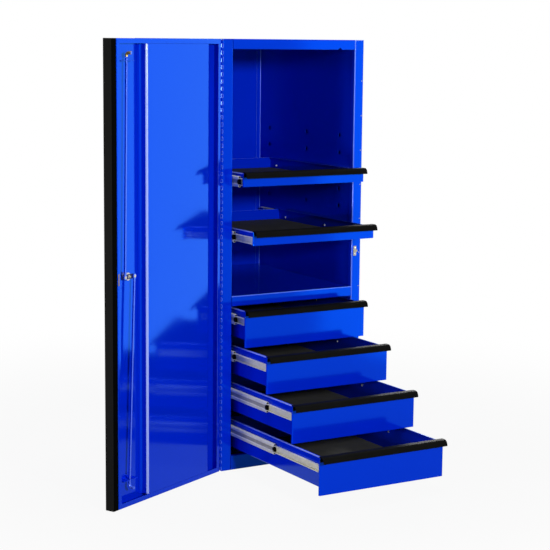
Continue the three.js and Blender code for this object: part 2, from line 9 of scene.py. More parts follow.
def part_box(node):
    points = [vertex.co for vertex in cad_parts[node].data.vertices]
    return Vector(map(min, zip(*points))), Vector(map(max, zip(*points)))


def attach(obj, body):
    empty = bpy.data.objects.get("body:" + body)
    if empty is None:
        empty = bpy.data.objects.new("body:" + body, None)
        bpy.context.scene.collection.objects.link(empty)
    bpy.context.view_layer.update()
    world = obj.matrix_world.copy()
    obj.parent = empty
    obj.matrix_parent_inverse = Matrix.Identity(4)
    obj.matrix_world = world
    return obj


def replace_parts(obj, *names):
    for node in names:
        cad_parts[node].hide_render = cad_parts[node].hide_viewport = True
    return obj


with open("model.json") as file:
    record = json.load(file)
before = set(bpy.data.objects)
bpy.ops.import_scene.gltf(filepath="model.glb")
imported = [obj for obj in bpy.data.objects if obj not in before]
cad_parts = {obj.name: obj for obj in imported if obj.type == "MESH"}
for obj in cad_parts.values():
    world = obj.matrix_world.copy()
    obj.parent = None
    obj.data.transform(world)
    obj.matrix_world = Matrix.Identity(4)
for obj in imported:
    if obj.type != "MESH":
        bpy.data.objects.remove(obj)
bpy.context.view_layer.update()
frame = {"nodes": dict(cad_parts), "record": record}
cadNodes = frame["nodes"]
scene = bpy.context.scene
print("frame loaded:", len(cadNodes), "nodes")


# camera, set by the cabinet's edges in the photograph
view = {"place": (-2.425627, -4.243360, 1.267370), "yaw": 30.867, "pitch": 8.522, "roll": 0.557,
        "lens": 102.59, "sensor": 36, "farEnd": 60}


def addCamera():
    yaw, pitch, roll = (math.radians(view[k]) for k in ("yaw", "pitch", "roll"))
    ahead = Vector((math.sin(yaw) * math.cos(pitch), math.cos(yaw) * math.cos(pitch), -math.sin(pitch)))
    flatRight = Vector((math.cos(yaw), -math.sin(yaw), 0))
    flatUp = flatRight.cross(ahead)
    right = math.cos(roll) * flatRight + math.sin(roll) * flatUp
    up = -math.sin(roll) * flatRight + math.cos(roll) * flatUp
    data = bpy.data.cameras.new("photoCamera")
    data.lens, data.sensor_width, data.clip_end = view["lens"], view["sensor"], view["farEnd"]
    camera = bpy.data.objects.new("photoCamera", data)
    turn = Matrix((right, up, -ahead)).transposed().to_4x4()
    camera.matrix_world = Matrix.Translation(view["place"]) @ turn
    scene.collection.objects.link(camera)
    scene.camera = camera


addCamera()


# node helpers: a value is a number or another node's output
def feed(tree, value, socket):
    if isinstance(value, (int, float)):
        socket.default_value = value
    else:
        tree.links.new(value, socket)


def mathNode(tree, operation, *values):
    node = tree.nodes.new("ShaderNodeMath")
    node.operation = operation
    for value, socket in zip(values, node.inputs):
        feed(tree, value, socket)
    return node.outputs[0]


def noiseNode(tree, vector, scale, detail):
    node = tree.nodes.new("ShaderNodeTexNoise")
    node.inputs["Detail"].default_value = detail
    tree.links.new(vector, node.inputs["Vector"])
    feed(tree, scale, node.inputs["Scale"])
    return node.outputs["Fac"]


def spread(tree, share, low, high):
    node = tree.nodes.new("ShaderNodeMapRange")
    for label, value in (("Value", share), ("To Min", low), ("To Max", high)):
        feed(tree, value, node.inputs[label])
    return node.outputs["Result"]


def mixColours(tree, share, first, second):
    node = tree.nodes.new("ShaderNodeMix")
    node.data_type = "RGBA"
    for k, source in ((0, share), (6, first), (7, second)):  # the node's sockets for colours
        tree.links.new(source, node.inputs[k])
    return node.outputs[2]


def mixSurfaces(tree, share, first, second, outputKind):
    mix = tree.nodes.new("ShaderNodeMixShader")
    for k, source in enumerate((share, first.outputs[0], second.outputs[0])):
        tree.links.new(source, mix.inputs[k])
    out = tree.nodes.new(outputKind)
    tree.links.new(mix.outputs[0], out.inputs["Surface"])


# studio: a tinted panel on the right that only mirrors, lamps in front, on the left, overhead
# and behind, a pale floor and white surroundings
studio = {
    "lamps": {
        "sidePanel": {"place": (1.1, -1.14, 0.72), "aim": (0, -1.14, 0.72), "size": (1.75, 1.4), "watts": 14,
                      "colour": (0.05, 0.8, 1), "mirrorOnly": True},
        "frontLamp": {"place": (-0.3, -5.2, 1.75), "aim": (0, -0.3, 0.75), "size": (0.4, 0.4), "watts": 205},
        "leftLamp": {"place": (-3.0, -1.15, 0.45), "aim": (-0.2, -0.5, 0.4), "size": (0.35, 0.35),
                     "watts": 30},
        "topLamp": {"place": (-0.3, -0.9, 4.4), "aim": (-0.2, -0.45, 0.6), "size": (1.6, 1.6), "watts": 85},
        "rearRight": {"place": (3.4, 2.6, 2.0), "aim": (0, 0, 0.6), "size": (1.2, 1.2), "watts": 130},
        "rearLeft": {"place": (-2.6, 3.8, 2.0), "aim": (-0.3, 0, 0.6), "size": (1.2, 1.2), "watts": 130},
    },
    "white": (1, 1, 1, 1),
    "roomLight": 0.02,
    "backdropLight": 1,
    "floorSize": 40,
    "floorColour": (0.25, 0.25, 0.25, 1),
    "floorWhite": (0.93, 1.0),  # share of white that the camera sees, near and far
    "floorMirrored": (0.6, 1.0),  # the same in reflections
    "whiteBeyond": (0.7, 2.2),
}


def addLamp(name, place, aim, size, watts, colour=(1, 1, 1), mirrorOnly=False):
    data = bpy.data.lights.new(name, "AREA")
    data.color = colour
    data.shape, data.size, data.size_y, data.energy = "RECTANGLE", size[0], size[1], watts
    lamp = bpy.data.objects.new(name, data)
    lamp.location = place
    lamp.visible_diffuse = not mirrorOnly
    lamp.rotation_euler = (Vector(aim) - Vector(place)).to_track_quat("-Z", "Y").to_euler()
    scene.collection.objects.link(lamp)


def mirrorRays(tree, rays):
    return mathNode(tree, "MAXIMUM", rays.outputs["Is Glossy Ray"], rays.outputs["Is Transmission Ray"])


def addWorld():
    world = bpy.data.worlds.new("studioRoom")
    scene.world = world
    world.use_nodes = True
    tree = world.node_tree
    tree.nodes.clear()
    lights = []
    for strength in (studio["roomLight"], studio["backdropLight"]):
        light = tree.nodes.new("ShaderNodeBackground")
        light.inputs["Color"].default_value = studio["white"]
        light.inputs["Strength"].default_value = strength
        lights.append(light)
    rays = tree.nodes.new("ShaderNodeLightPath")
    shown = mathNode(tree, "MAXIMUM", rays.outputs["Is Camera Ray"], mirrorRays(tree, rays))
    mixSurfaces(tree, shown, *lights, "ShaderNodeOutputWorld")


def makeFloorFinish():
    # matt for the light that falls on it, white where it is seen, the whiter the further out
    material = bpy.data.materials.new("paleFloor")
    material.use_nodes = True
    tree = material.node_tree
    tree.nodes.clear()
    rays = tree.nodes.new("ShaderNodeLightPath")
    place = tree.nodes.new("ShaderNodeTexCoord")
    away = tree.nodes.new("ShaderNodeVectorMath")
    away.operation = "LENGTH"
    tree.links.new(place.outputs["Object"], away.inputs[0])
    shares = []
    for seen, whiteness in ((rays.outputs["Is Camera Ray"], studio["floorWhite"]),
                            (mirrorRays(tree, rays), studio["floorMirrored"])):
        reach = tree.nodes.new("ShaderNodeMapRange")
        reach.interpolation_type = "SMOOTHSTEP"
        tree.links.new(away.outputs["Value"], reach.inputs["Value"])
        limits = ("From Min", "From Max", "To Min", "To Max")
        for label, value in zip(limits, studio["whiteBeyond"] + whiteness):
            reach.inputs[label].default_value = value
        shares.append(mathNode(tree, "MULTIPLY", seen, reach.outputs["Result"]))
    matt = tree.nodes.new("ShaderNodeBsdfDiffuse")
    matt.inputs["Color"].default_value = studio["floorColour"]
    white = tree.nodes.new("ShaderNodeEmission")
    mixSurfaces(tree, mathNode(tree, "MAXIMUM", *shares), matt, white, "ShaderNodeOutputMaterial")
    return material


def addFloor():
    bm = bmesh.new()
    bmesh.ops.create_grid(bm, x_segments=1, y_segments=1, size=studio["floorSize"] / 2)
    mesh = bpy.data.meshes.new("studioFloor")
    bm.to_mesh(mesh)
    bm.free()
    mesh.materials.append(makeFloorFinish())
    floor = bpy.data.objects.new("studioFloor", mesh)
    scene.collection.objects.link(floor)


for lampName, lampSettings in studio["lamps"].items():
    addLamp(lampName, **lampSettings)
addWorld()
addFloor()
scene.view_settings.view_transform = "Standard"
print("camera, lamps and floor placed")


# shared surface effects: each puts out a colour, a roughness and a height
def newGroup(name, inputs):
    group = bpy.data.node_groups.new(name, "ShaderNodeTree")
    for label, kind, value in inputs:
        socket = group.interface.new_socket(label, in_out="INPUT", socket_type=kind)
        socket.default_value = value
    for label, kind in (("Color", "NodeSocketColor"), ("Roughness", "NodeSocketFloat"),
                        ("Height", "NodeSocketFloat")):
        group.interface.new_socket(label, in_out="OUTPUT", socket_type=kind)
    start = group.nodes.new("NodeGroupInput")
    return group, start.outputs


def closeGroup(group, colour, roughness, height):
    end = group.nodes.new("NodeGroupOutput")
    for label, source in (("Color", colour), ("Roughness", roughness), ("Height", height)):
        group.links.new(source, end.inputs[label])
    return group


# slow shade drift, fine speckle and orange peel of a baked coat
coatWork = {"driftDetail": 3.0, "driftShare": 0.8, "speckleScale": 900.0, "speckleDetail": 1.0,
            "speckleShare": 0.2, "peelDetail": 1.5, "smearScale": 14.0, "smearDetail": 4.0}


def makeCoatGroup():
    w = coatWork
    group, given = newGroup(
        "bakedCoat",
        [("Shade", "NodeSocketColor", (0, 0.1, 0.8, 1)), ("Deep Shade", "NodeSocketColor", (0, 0.06, 0.6, 1)),
         ("Drift Scale", "NodeSocketFloat", 3.0), ("Peel Scale", "NodeSocketFloat", 420.0),
         ("Low Roughness", "NodeSocketFloat", 0.08), ("High Roughness", "NodeSocketFloat", 0.14)])
    place = group.nodes.new("ShaderNodeTexCoord").outputs["Object"]
    drift = noiseNode(group, place, given["Drift Scale"], w["driftDetail"])
    speckle = noiseNode(group, place, w["speckleScale"], w["speckleDetail"])
    faint = mathNode(group, "MULTIPLY", speckle, w["speckleShare"])
    share = mathNode(group, "MULTIPLY_ADD", drift, w["driftShare"], faint)
    colour = mixColours(group, share, given["Shade"], given["Deep Shade"])
    smear = noiseNode(group, place, w["smearScale"], w["smearDetail"])
    gloss = spread(group, smear, given["Low Roughness"], given["High Roughness"])
    peel = noiseNode(group, place, given["Peel Scale"], w["peelDetail"])
    return closeGroup(group, colour, gloss, peel)


# long drawn lines along one axis, for rolled and extruded metal
streakWork = {"lineScale": 1.0, "lineDetail": 3.0, "lineShare": 0.5, "blotchDetail": 4.0, "blotchShare": 0.5,
              "contrast": (-0.6, 1.6)}


def makeStreakGroup():
    w = streakWork
    group, given = newGroup(
        "drawnStreaks",
        [("Pale", "NodeSocketColor", (0.6, 0.6, 0.6, 1)), ("Dark", "NodeSocketColor", (0.4, 0.4, 0.4, 1)),
         ("Stretch", "NodeSocketVector", (400, 4, 400)), ("Low Roughness", "NodeSocketFloat", 0.25),
         ("High Roughness", "NodeSocketFloat", 0.45), ("Blotch Scale", "NodeSocketFloat", 60.0)])
    place = group.nodes.new("ShaderNodeTexCoord").outputs["Object"]
    drawn = group.nodes.new("ShaderNodeVectorMath")
    drawn.operation = "MULTIPLY"
    group.links.new(place, drawn.inputs[0])
    group.links.new(given["Stretch"], drawn.inputs[1])
    lines = noiseNode(group, drawn.outputs[0], w["lineScale"], w["lineDetail"])
    blotch = noiseNode(group, place, given["Blotch Scale"], w["blotchDetail"])
    faint = mathNode(group, "MULTIPLY", blotch, w["blotchShare"])
    both = mathNode(group, "MULTIPLY_ADD", lines, w["lineShare"], faint)
    colour = mixColours(group, spread(group, both, *w["contrast"]), given["Pale"], given["Dark"])
    gloss = spread(group, both, given["Low Roughness"], given["High Roughness"])
    return closeGroup(group, colour, gloss, lines)


bakedCoat = makeCoatGroup()
drawnStreaks = makeStreakGroup()


# materials
finishes = {
    "bluePaint": {
        "group": bakedCoat, "slot": "body_paint", "bump": (0.05, 0.0004),
        "fixed": {"Metallic": 0.2, "IOR": 1.45, "Specular IOR Level": 0.4, "Specular Tint": (0, 1.0, 1.0, 1)},
        "values": {"Shade": (0.0, 0.021, 0.63, 1), "Deep Shade": (0.0, 0.017, 0.59, 1), "Drift Scale": 2.5,
                   "Peel Scale": 420.0, "Low Roughness": 0.08, "High Roughness": 0.13}},
    # painted highlight: a pale blue standing in for the light that bends catch
    "paleBend": {
        "group": bakedCoat, "slot": "body_paint", "bump": (0.04, 0.0003),
        "fixed": {"Metallic": 0.3, "IOR": 1.5, "Specular IOR Level": 0.5},
        "values": {"Shade": (0.33, 0.42, 0.92, 1), "Deep Shade": (0.28, 0.36, 0.86, 1), "Drift Scale": 6.0,
                   "Peel Scale": 420.0, "Low Roughness": 0.15, "High Roughness": 0.25}},
    # painted highlight: a milder pale blue for the light caught along bends and edges
    "softBend": {
        "group": bakedCoat, "slot": "body_paint", "bump": (0.04, 0.0003),
        "fixed": {"Metallic": 0.2, "IOR": 1.5, "Specular IOR Level": 0.5},
        "values": {"Shade": (0.09, 0.18, 0.86, 1), "Deep Shade": (0.07, 0.14, 0.80, 1), "Drift Scale": 6.0,
                   "Peel Scale": 420.0, "Low Roughness": 0.15, "High Roughness": 0.25}},
    "blackTrim": {
        "group": drawnStreaks, "slot": "trim_black", "bump": (0.06, 0.0003),
        "fixed": {"IOR": 1.45, "Specular IOR Level": 0.025},
        "values": {"Pale": (0.004, 0.004, 0.0037, 1), "Dark": (0.002, 0.002, 0.0018, 1),
                   "Stretch": (3, 900, 900), "Low Roughness": 0.42, "High Roughness": 0.6,
                   "Blotch Scale": 25.0}},
    "blackDoorTrim": {
        "group": drawnStreaks, "slot": "trim_black", "bump": (0.06, 0.0003),
        "fixed": {"IOR": 1.45, "Specular IOR Level": 0.06},
        "values": {"Pale": (0.004, 0.004, 0.0037, 1), "Dark": (0.002, 0.002, 0.0018, 1),
                   "Stretch": (900, 900, 3), "Low Roughness": 0.42, "High Roughness": 0.6,
                   "Blotch Scale": 25.0}},
    # painted shade: a darker black for the pull's face that lies in shade
    "deepTrim": {
        "group": drawnStreaks, "slot": "trim_black", "bump": (0.06, 0.0003),
        "fixed": {"IOR": 1.45, "Specular IOR Level": 0.01},
        "values": {"Pale": (0.0014, 0.0014, 0.0013, 1), "Dark": (0.0008, 0.0008, 0.0007, 1),
                   "Stretch": (900, 900, 3), "Low Roughness": 0.5, "High Roughness": 0.65,
                   "Blotch Scale": 25.0}},
    "zincSlide": {
        "group": drawnStreaks, "slot": "steel_zinc", "bump": (0.12, 0.0003), "fixed": {"Metallic": 0.2},
        "values": {"Pale": (0.95, 0.92, 0.66, 1), "Dark": (0.72, 0.69, 0.50, 1), "Stretch": (500, 5, 500),
                   "Low Roughness": 0.3, "High Roughness": 0.46, "Blotch Scale": 70.0}},
    # dull zinc for small parts, and painted shade on the slides' recessed webs
    "slideWeb": {
        "group": drawnStreaks, "slot": "steel_zinc", "bump": (0.12, 0.0003), "fixed": {"Metallic": 0.1},
        "values": {"Pale": (0.50, 0.47, 0.33, 1), "Dark": (0.31, 0.295, 0.21, 1), "Stretch": (500, 5, 500),
                   "Low Roughness": 0.3, "High Roughness": 0.46, "Blotch Scale": 70.0}},
    "zincPart": {
        "group": drawnStreaks, "slot": "steel_zinc", "bump": (0.1, 0.0003), "fixed": {"Metallic": 0.75},
        "values": {"Pale": (0.78, 0.77, 0.74, 1), "Dark": (0.58, 0.57, 0.55, 1), "Stretch": (300, 300, 40),
                   "Low Roughness": 0.2, "High Roughness": 0.36, "Blotch Scale": 60.0}},
    # painted shade: a dark blue zinc standing in for shadow and for the blue reflected from the door
    "darkZinc": {
        "group": drawnStreaks, "slot": "steel_zinc", "bump": (0.1, 0.0003), "fixed": {"Metallic": 0.6},
        "values": {"Pale": (0.035, 0.045, 0.20, 1), "Dark": (0.015, 0.02, 0.10, 1),
                   "Stretch": (120, 120, 120), "Low Roughness": 0.3, "High Roughness": 0.5,
                   "Blotch Scale": 90.0}},
    "dullBrass": {
        "group": drawnStreaks, "slot": "steel_zinc", "bump": (0.1, 0.0003), "fixed": {"Metallic": 0.4},
        "values": {"Pale": (0.36, 0.28, 0.18, 1), "Dark": (0.20, 0.15, 0.10, 1), "Stretch": (200, 200, 30),
                   "Low Roughness": 0.3, "High Roughness": 0.5, "Blotch Scale": 150.0}},
    "yellowZinc": {
        "group": drawnStreaks, "slot": "steel_zinc", "bump": (0.1, 0.0003), "fixed": {"Metallic": 0.6},
        "values": {"Pale": (0.50, 0.36, 0.08, 1), "Dark": (0.34, 0.25, 0.09, 1), "Stretch": (90, 90, 90),
                   "Low Roughness": 0.28, "High Roughness": 0.44, "Blotch Scale": 120.0}},
    "matRubber": {
        "group": drawnStreaks, "slot": "mat_rubber", "bump": (0.3, 0.0004),
        "fixed": {"IOR": 1.4, "Specular IOR Level": 0.2},
        "values": {"Pale": (0.062, 0.062, 0.058, 1), "Dark": (0.042, 0.042, 0.039, 1),
                   "Stretch": (700, 700, 700), "Low Roughness": 0.7, "High Roughness": 0.9,
                   "Blotch Scale": 30.0}},
}


def newMaterial(name, finish):
    material = bpy.data.materials.new(name)
    material.use_nodes = True
    tree = material.node_tree
    surface = tree.nodes["Principled BSDF"]
    effect = tree.nodes.new("ShaderNodeGroup")
    effect.node_tree = finish["group"]
    for label, value in finish["values"].items():
        effect.inputs[label].default_value = value
    tree.links.new(effect.outputs["Color"], surface.inputs["Base Color"])
    tree.links.new(effect.outputs["Roughness"], surface.inputs["Roughness"])
    relief = tree.nodes.new("ShaderNodeBump")
    relief.inputs["Strength"].default_value, relief.inputs["Distance"].default_value = finish["bump"]
    tree.links.new(effect.outputs["Height"], relief.inputs["Height"])
    tree.links.new(relief.outputs["Normal"], surface.inputs["Normal"])
    for label, value in finish["fixed"].items():
        surface.inputs[label].default_value = value
    return material


materials = {name: newMaterial(name, finish) for name, finish in finishes.items()}
print("materials:", ", ".join(materials))

behaviour = frame["record"]["behaviour"]
bodyOf = {node: body for body, members in behaviour["bodies"].items() for node in members}
joints = {joint["name"]: joint for joint in behaviour["joints"]}
units = ["upper_tray", "lower_tray", "drawer_1", "drawer_2", "drawer_3", "drawer_4"]
samePlace = 1e-6  # points closer than this are one


def addPiece(name, bm, body, finish, *others):
    mesh = bpy.data.meshes.new(name)
    bm.to_mesh(mesh)
    bm.free()
    piece = bpy.data.objects.new(name, mesh)
    scene.collection.objects.link(piece)
    for label in (finish, *others):
        mesh.materials.append(materials[label])
    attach(piece, body)
    return piece


def roundEdges(bm, edges, width, segments=2):
    bmesh.ops.bevel(bm, geom=list(edges), offset=width, offset_type="OFFSET", segments=segments, profile=0.5,
                    affect="EDGES", clamp_overlap=True, material=-1)


# sheet pieces: the CAD solid with its cut edges rounded and its bends smooth
sheetWork = {"edge": 0.00035, "sharpFrom": 50, "flat": 0.6, "merge": 2e-6}


def roundedCopy(node):
    bm = bmesh.new()
    bm.from_mesh(cadNodes[node].data)
    bmesh.ops.remove_doubles(bm, verts=bm.verts, dist=sheetWork["merge"])
    flat = math.radians(sheetWork["flat"])
    bmesh.ops.dissolve_limit(bm, angle_limit=flat, verts=bm.verts, edges=bm.edges)
    limit = math.radians(sheetWork["sharpFrom"])
    sharp = [e for e in bm.edges if len(e.link_faces) == 2 and e.calc_face_angle() > limit]
    roundEdges(bm, sharp, sheetWork["edge"])
    for face in bm.faces:
        face.smooth = True
    return bm


def finishCopy(bm, node, finish, *others):
    piece = addPiece(node + "_finished", bm, bodyOf[node], finish, *others)
    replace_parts(piece, node)
    shade = piece.modifiers.new("evenShade", "WEIGHTED_NORMAL")
    shade.keep_sharp = True


plainCopies = {
    "bluePaint": ["left_side_shell", "top_pan", "bottom_pan", "back_panel", "lower_rod_guide"]
                 + [u + "_front" for u in units],
    "blackTrim": [u + "_pull" for u in units],
    "zincPart": ["hinge_pin", "lock_case"],
    "slideWeb": ["door_catch"],
    "dullBrass": ["catch_keeper"],
}
for finish, names in plainCopies.items():
    for node in names:
        finishCopy(roundedCopy(node), node, finish)


# pieces in more than one finish; those on the door are read in the door's own frame
doorTurn = -153.9  # how far the door stands open
hingePlace = Matrix.Translation((*joints["door_hinge"]["pos_m"][:2], 0))
doorPlace = hingePlace @ Matrix.Rotation(math.radians(doorTurn), 4, "Z")


def zonedCopy(node, finish, zones, home=Matrix.Identity(4)):
    # zones: pairs of a finish and a test of a face's normal and middle
    bm = roundedCopy(node)
    back = home.inverted()
    turn = back.to_3x3()
    for face in bm.faces:
        normal, middle = turn @ face.normal, back @ face.calc_center_median()
        for k, (label, test) in enumerate(zones):
            if test(normal, middle):
                face.material_index = k + 1
    finishCopy(bm, node, finish, *[label for label, test in zones])


# painted highlights on bends, and painted highlights and painted shade on faces of the door's fittings
lean = 0.2  # a normal that leans this far towards a side belongs to a bend
cabinetBends = {"stileLip": 0.214}
# painted highlights on the right stile's inner edge bend and the divider rail's top bend
zonedCopy("right_side_shell", "bluePaint",
          [("softBend", lambda n, c: n.x < -lean and n.y < -lean and c.x < cabinetBends["stileLip"])])
zonedCopy("divider_shelf", "bluePaint", [("softBend", lambda n, c: n.z > lean and n.y < -lean)])

doorZones = {"panelStep": -0.012, "panTurn": 0.5, "panFace": -0.004, "panHingeSide": 0.1, "rodTurn": 0.6,
             "pullTurn": 0.5, "guideTurn": 0.6, "camTop": -0.0052}
# painted highlight along the inner panel's bend beside the rod channel
zonedCopy("door_inner_panel", "bluePaint",
          [("paleBend", lambda n, c: n.x > lean and n.y > lean and c.y > doorZones["panelStep"])], doorPlace)
# painted highlight on the door pan's lip at the hinge side
zonedCopy("door_pan", "bluePaint",
          [("softBend", lambda n, c: n.x > doorZones["panTurn"] and c.y > doorZones["panFace"]
            and c.x < doorZones["panHingeSide"])], doorPlace)
# painted highlight on the rods' faces towards the cabinet
for node in ("upper_rod", "lower_rod"):
    zonedCopy(node, "bluePaint", [("softBend", lambda n, c: n.y > doorZones["rodTurn"])], doorPlace)
# the door pull's inner face gets painted shade
zonedCopy("door_pull", "blackDoorTrim", [("deepTrim", lambda n, c: n.y > doorZones["pullTurn"])], doorPlace)
# painted shadow on the upper guide's top and bottom faces
zonedCopy("upper_rod_guide", "bluePaint",
          [("darkZinc", lambda n, c: abs(n.z) > doorZones["guideTurn"])], doorPlace)
# the lock cam is painted shade and painted blue reflection, its post tops bright zinc
zonedCopy("lock_cam", "darkZinc", [("zincPart", lambda n, c: c.y > doorZones["camTop"])], doorPlace)


# middle members: painted shade on the recessed web between the raceways, and a painted highlight of brighter
# zinc on the horns' faces at the front end
memberZones = {"web": 0.0055, "horn": 0.009, "hornTurn": 0.3}
for unit in units:
    for side in ("_slide_left", "_slide_right"):
        low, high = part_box(unit + side)
        level, hornEnd = (low.z + high.z) / 2, low.y + memberZones["horn"]
        zonedCopy(unit + side, "zincSlide",
                  [("slideWeb", lambda n, c: abs(c.z - level) < memberZones["web"]),
                   ("zincPart", lambda n, c: n.y < -memberZones["hornTurn"] and c.y < hornEnd)])


# inner walls and boxes: the slide members on them are zinc, the rest is paint, with painted highlights on the
# walls' rear corner bends and the boxes' hems
wallZones = {"member": 0.2103, "memberEnd": 0.265, "rearCorner": 0.25}
boxZones = {"member": 0.1984, "hem": 0.004, "rim": 0.003}
for node in ("left_liner", "right_liner"):
    zonedCopy(node, "bluePaint",
              [("zincSlide", lambda n, c: abs(c.x) < wallZones["member"] and c.y < wallZones["memberEnd"]),
               ("softBend", lambda n, c: n.x < -lean and n.y < -lean and c.y > wallZones["rearCorner"])])
for unit in units:
    low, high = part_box(unit + "_box")
    zonedCopy(unit + "_box", "bluePaint",
              [("zincSlide", lambda n, c: abs(c.x) > boxZones["member"]),
               ("paleBend", lambda n, c: n.z > lean and c.z > high.z - boxZones["hem"]
                and (abs(n.x) > lean or c.y > high.y - boxZones["rim"]))])
print("sheet pieces finished")


# small parts are made once at the origin and stamped into a piece where they belong
def stamp(bm, part, matrix=Matrix.Identity(4)):
    mesh = bpy.data.meshes.new("stamp")
    part.to_mesh(mesh)
    mesh.transform(matrix)
    bm.from_mesh(mesh)
    bpy.data.meshes.remove(mesh)


def standOn(centre, outward):
    return Matrix.Translation(centre) @ Vector(outward).to_track_quat("Z", "Y").to_matrix().to_4x4()


def onlyKind(geometry, kind):
    return [g for g in geometry if isinstance(g, kind)]


def makeBlock(low, high, edge=0.0, segments=2):
    bm = bmesh.new()
    bmesh.ops.create_cube(bm, size=1)
    bmesh.ops.scale(bm, vec=Vector(high) - Vector(low), verts=bm.verts)
    bmesh.ops.translate(bm, vec=(Vector(high) + Vector(low)) / 2, verts=bm.verts)
    if edge:
        roundEdges(bm, bm.edges, edge, segments)
    return bm


# turned heads: the pit of a driver recess, as shares of the head's height and radius
pitWork = {"from": 0.9, "slope": 0.06, "depth": 0.5}


def topFace(bm):
    return max(bm.faces, key=lambda f: f.calc_center_median().z)


def makeHead(radius, height, sides, edge=0.0, recess=0.0):
    # stands on z = 0, with a rounded rim and a driver recess if asked for
    bm = bmesh.new()
    bmesh.ops.create_cone(bm, cap_ends=True, segments=sides, radius1=radius, radius2=radius, depth=height,
                          matrix=Matrix.Translation((0, 0, height / 2)))
    if edge:
        roundEdges(bm, topFace(bm).edges, edge)
    if recess:
        bmesh.ops.inset_individual(bm, faces=[topFace(bm)], thickness=recess)
        topFrom = height * pitWork["from"]
        pit = [f for f in bm.faces if len(f.verts) == sides and f.calc_center_median().z > topFrom]
        bmesh.ops.inset_individual(bm, faces=pit, thickness=radius * pitWork["slope"],
                                   depth=-height * pitWork["depth"])
    return bm


def shadeRound(bm, limit=40):
    for face in bm.faces:
        face.smooth = True
    for edge in bm.edges:
        edge.smooth = len(edge.link_faces) == 2 and edge.calc_face_angle() < math.radians(limit)


# continuous hinge: fine rolled knuckles on both leaves, and a painted highlight line down the cabinet's leaf
# on the faces that turn towards the shine direction
hingeWork = {"plate": (0.0019, 0.0031), "plateEdge": 0.0003, "reach": (0.0033, 0.022), "knuckles": 124,
             "radius": 0.003, "sides": 12, "gap": 0.0005, "rim": 0.0005, "tabLap": 0.0004, "rivets": 12,
             "rivetAt": 0.0135,
             "rivet": {"radius": 0.0028, "height": 0.0008, "sides": 12, "edge": 0.0004},
             "shine": Vector((0.45, -0.89, 0)), "shineFrom": 0.93}


def buildLeaf(way, first):
    bm = bmesh.new()
    w = hingeWork
    bottom, top = (corner.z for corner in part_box("hinge_pin"))
    inner, outer = w["plate"]
    near, far = sorted(way * reach for reach in w["reach"])
    stamp(bm, makeBlock((inner, near, bottom), (outer, far, top), w["plateEdge"]))
    pitch = (top - bottom) / w["knuckles"]
    length = pitch - w["gap"]
    knuckle = makeHead(w["radius"], length, w["sides"])
    rims = [e for e in knuckle.edges if abs(e.verts[0].co.z - e.verts[1].co.z) < samePlace]
    roundEdges(knuckle, rims, w["rim"], 1)
    near, far = sorted((0.0, way * (w["reach"][0] + w["tabLap"])))
    stamp(knuckle, makeBlock((inner, near, 0), (outer, far, length)))
    for k in range(first, w["knuckles"], 2):
        stamp(bm, knuckle, Matrix.Translation((0, 0, bottom + k * pitch + w["gap"] / 2)))
    rivet = makeHead(**w["rivet"])
    for k in range(w["rivets"]):
        level = bottom + (k + 0.5) * (top - bottom) / w["rivets"]
        stamp(bm, rivet, standOn((inner, way * w["rivetAt"], level), (-1, 0, 0)))
    shadeRound(bm)
    return bm


leaf = buildLeaf(1, 0)
bmesh.ops.transform(leaf, matrix=hingePlace, verts=leaf.verts)
for face in leaf.faces:
    # painted highlight: faces turned towards the shine direction get the soft painted highlight
    face.material_index = int(face.normal.dot(hingeWork["shine"]) > hingeWork["shineFrom"])
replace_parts(addPiece("hingeLeafCabinet", leaf, "cabinet", "bluePaint", "softBend"), "hinge_leaf_cabinet")
leaf = buildLeaf(-1, 1)
bmesh.ops.transform(leaf, matrix=doorPlace, verts=leaf.verts)
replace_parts(addPiece("hingeLeafDoor", leaf, "door", "bluePaint"), "hinge_leaf_door")
print("hinge rolled")


# ribbed rubber mats in the trays and drawers
matWork = {"pitch": 0.0032, "rib": 0.0005, "shade": 60}


def buildMat(low, high):
    bm = bmesh.new()
    width, depth = high.x - low.x, high.y - low.y
    ribs = int(width / matWork["pitch"])
    made = bmesh.ops.create_grid(bm, x_segments=2 * ribs, y_segments=1, size=0.5)
    bmesh.ops.scale(bm, vec=(width, depth, 1), verts=made["verts"])
    step = width / (2 * ribs)
    for v in made["verts"]:
        if round((v.co.x + width / 2) / step) % 2 == 0:
            v.co.z -= matWork["rib"]
    grown = bmesh.ops.extrude_face_region(bm, geom=list(bm.faces))["geom"]
    for v in onlyKind(grown, bmesh.types.BMVert):
        v.co.z = low.z - high.z
    bmesh.ops.recalc_face_normals(bm, faces=bm.faces)
    bmesh.ops.translate(bm, vec=((low.x + high.x) / 2, (low.y + high.y) / 2, high.z), verts=bm.verts)
    shadeRound(bm, matWork["shade"])
    return bm


for unit in units:
    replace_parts(addPiece(unit + "Mat", buildMat(*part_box(unit + "_mat")), unit, "matRubber"), unit + "_mat")
print("mats laid")


# screws through the box walls into the slides
screwWork = {"wall": 0.1967, "back": (0.03, 0.255, 0.492),
             "head": {"radius": 0.0036, "height": 0.002, "sides": 14, "edge": 0.0008, "recess": 0.0012}}


def buildScrews(unit, level):
    bm = bmesh.new()
    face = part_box(unit + "_front")[0].y
    screw = makeHead(**screwWork["head"])
    for side in (-1, 1):
        for back in screwWork["back"]:
            stamp(bm, screw, standOn((side * screwWork["wall"], face + back, level), (-side, 0, 0)))
    shadeRound(bm)
    return bm


# ball cages in the raceways, above and below
ballWork = {"radius": 0.002, "sides": (8, 6), "across": 0.2045, "lift": 0.01215, "balls": 7, "pitch": 0.0085,
            "start": 0.012, "cageLead": 0.004, "cageHalf": (0.0018, 0.0005), "cageEdge": 0.0002, "shade": 70}


